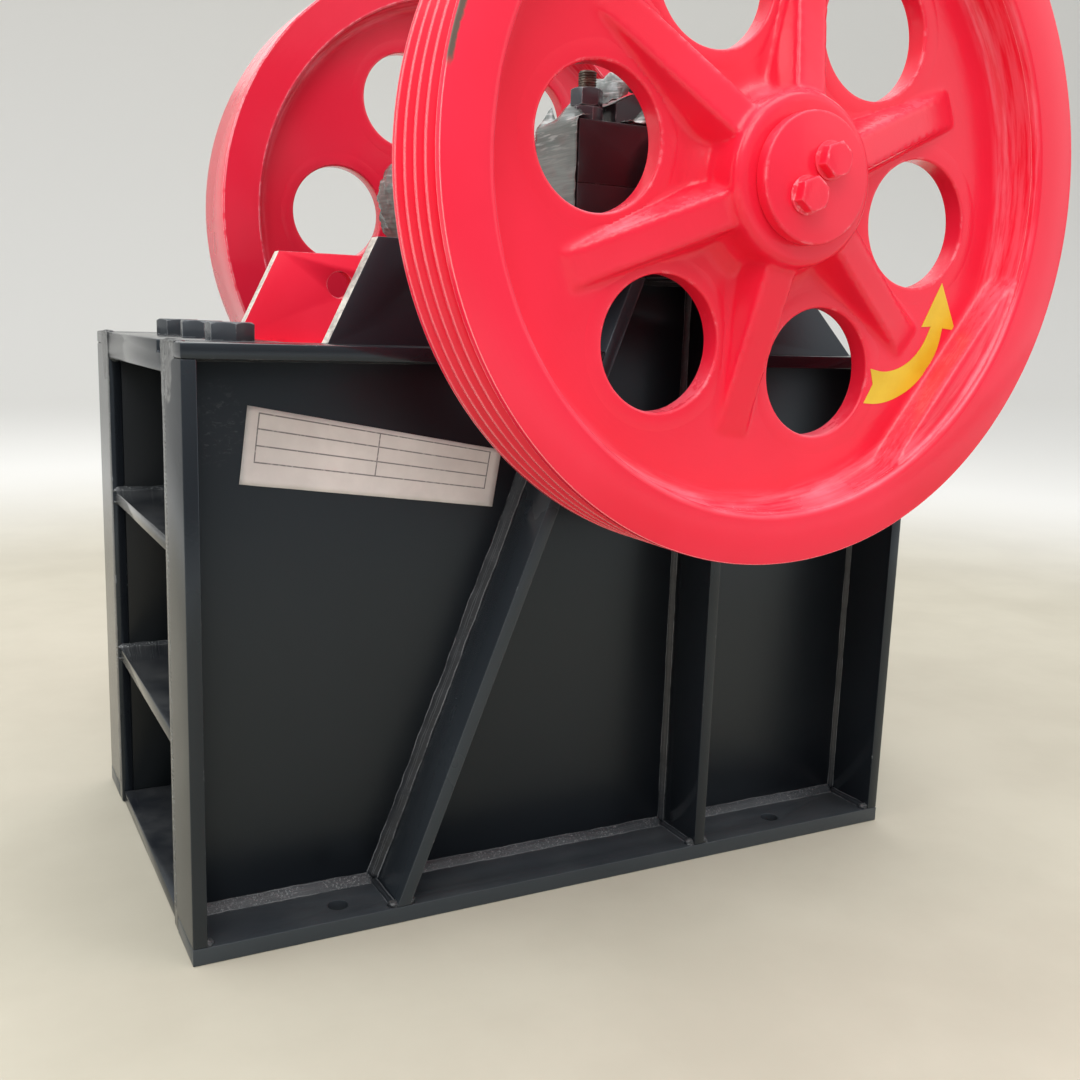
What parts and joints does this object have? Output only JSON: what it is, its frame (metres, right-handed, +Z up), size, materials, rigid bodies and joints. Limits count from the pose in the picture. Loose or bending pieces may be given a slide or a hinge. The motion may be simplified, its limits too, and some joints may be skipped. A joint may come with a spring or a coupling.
{
  "type": "jaw crusher",
  "caption": "Small welded-frame jaw crusher with a toothed crushing chamber, an eccentric shaft in capped bearing blocks, a grooved belt sheave and a plain flywheel.",
  "frame": {"origin": "on the ground under the shaft axis, at the middle of the machine's width and length", "axes": "+X towards the toggle and tension rod end, -X the fixed jaw end, +Z up, -Y the belt sheave side"},
  "size_m": [0.896, 0.769, 0.935],
  "materials": {
    "frame_paint": "dark blue-black machine paint, satin, over welded plate",
    "red_paint": "bright red gloss enamel over castings and plate",
    "manganese_steel": "as-cast wear plate, dull grey",
    "dark_fasteners": "blackened bolts and nuts",
    "bare_steel": "machined steel, lightly oiled"
  },
  "bodies": {
    "frame": {"side_plate_right": "frame_paint", "side_plate_left": "frame_paint", "base_flange_right": "frame_paint", "base_flange_left": "frame_paint", "front_flange_right": "frame_paint", "front_flange_left": "frame_paint", "rear_flange_right": "frame_paint", "rear_flange_left": "frame_paint", "top_flange_right": "frame_paint", "top_flange_left": "frame_paint", "diagonal_rib_right": "frame_paint", "diagonal_rib_left": "frame_paint", "upright_rib_right": "frame_paint", "upright_rib_left": "frame_paint", "front_wall": "frame_paint", "front_top_plate": "frame_paint", "front_shelves": "frame_paint", "rear_wall": "frame_paint", "rear_top_plate": "frame_paint", "rear_shelves": "frame_paint", "spring_bar": "frame_paint", "bearing_seat_right": "frame_paint", "bearing_seat_left": "frame_paint", "bearing_base_right": "frame_paint", "bearing_base_left": "frame_paint", "bearing_cap_right": "frame_paint", "bearing_cap_left": "frame_paint", "clamp_bolts": "dark_fasteners", "fixed_jaw_plate": "manganese_steel", "cheek_plate_right": "red_paint", "cheek_plate_left": "red_paint", "bearing_studs": "dark_fasteners", "adjusting_block": "frame_paint", "shim_pack": "bare_steel", "toggle_plate": "bare_steel", "tension_rod": "bare_steel", "tension_spring": "bare_steel"},
    "shaft": {"eccentric_shaft": "bare_steel", "belt_sheave": "red_paint", "flywheel": "red_paint", "end_cap_right": "red_paint", "end_cap_left": "red_paint"},
    "swing_jaw": {"pitman": "frame_paint", "movable_jaw_plate": "manganese_steel", "toggle_seat": "bare_steel"}
  },
  "joints": [
    {"name": "shaft_spin", "type": "hinge", "parent": "frame", "child": "shaft", "pos_m": [0, 0, 0.63], "axis": [0, -1, 0], "continuous": true},
    {"name": "jaw_ride", "type": "hinge", "parent": "shaft", "child": "swing_jaw", "pos_m": [0, 0, 0.624], "axis": [0, -1, 0], "continuous": true}
  ],
  "couplings": [
    {"joint": "jaw_ride", "follows": "shaft_spin", "ratio": -1}
  ]
}
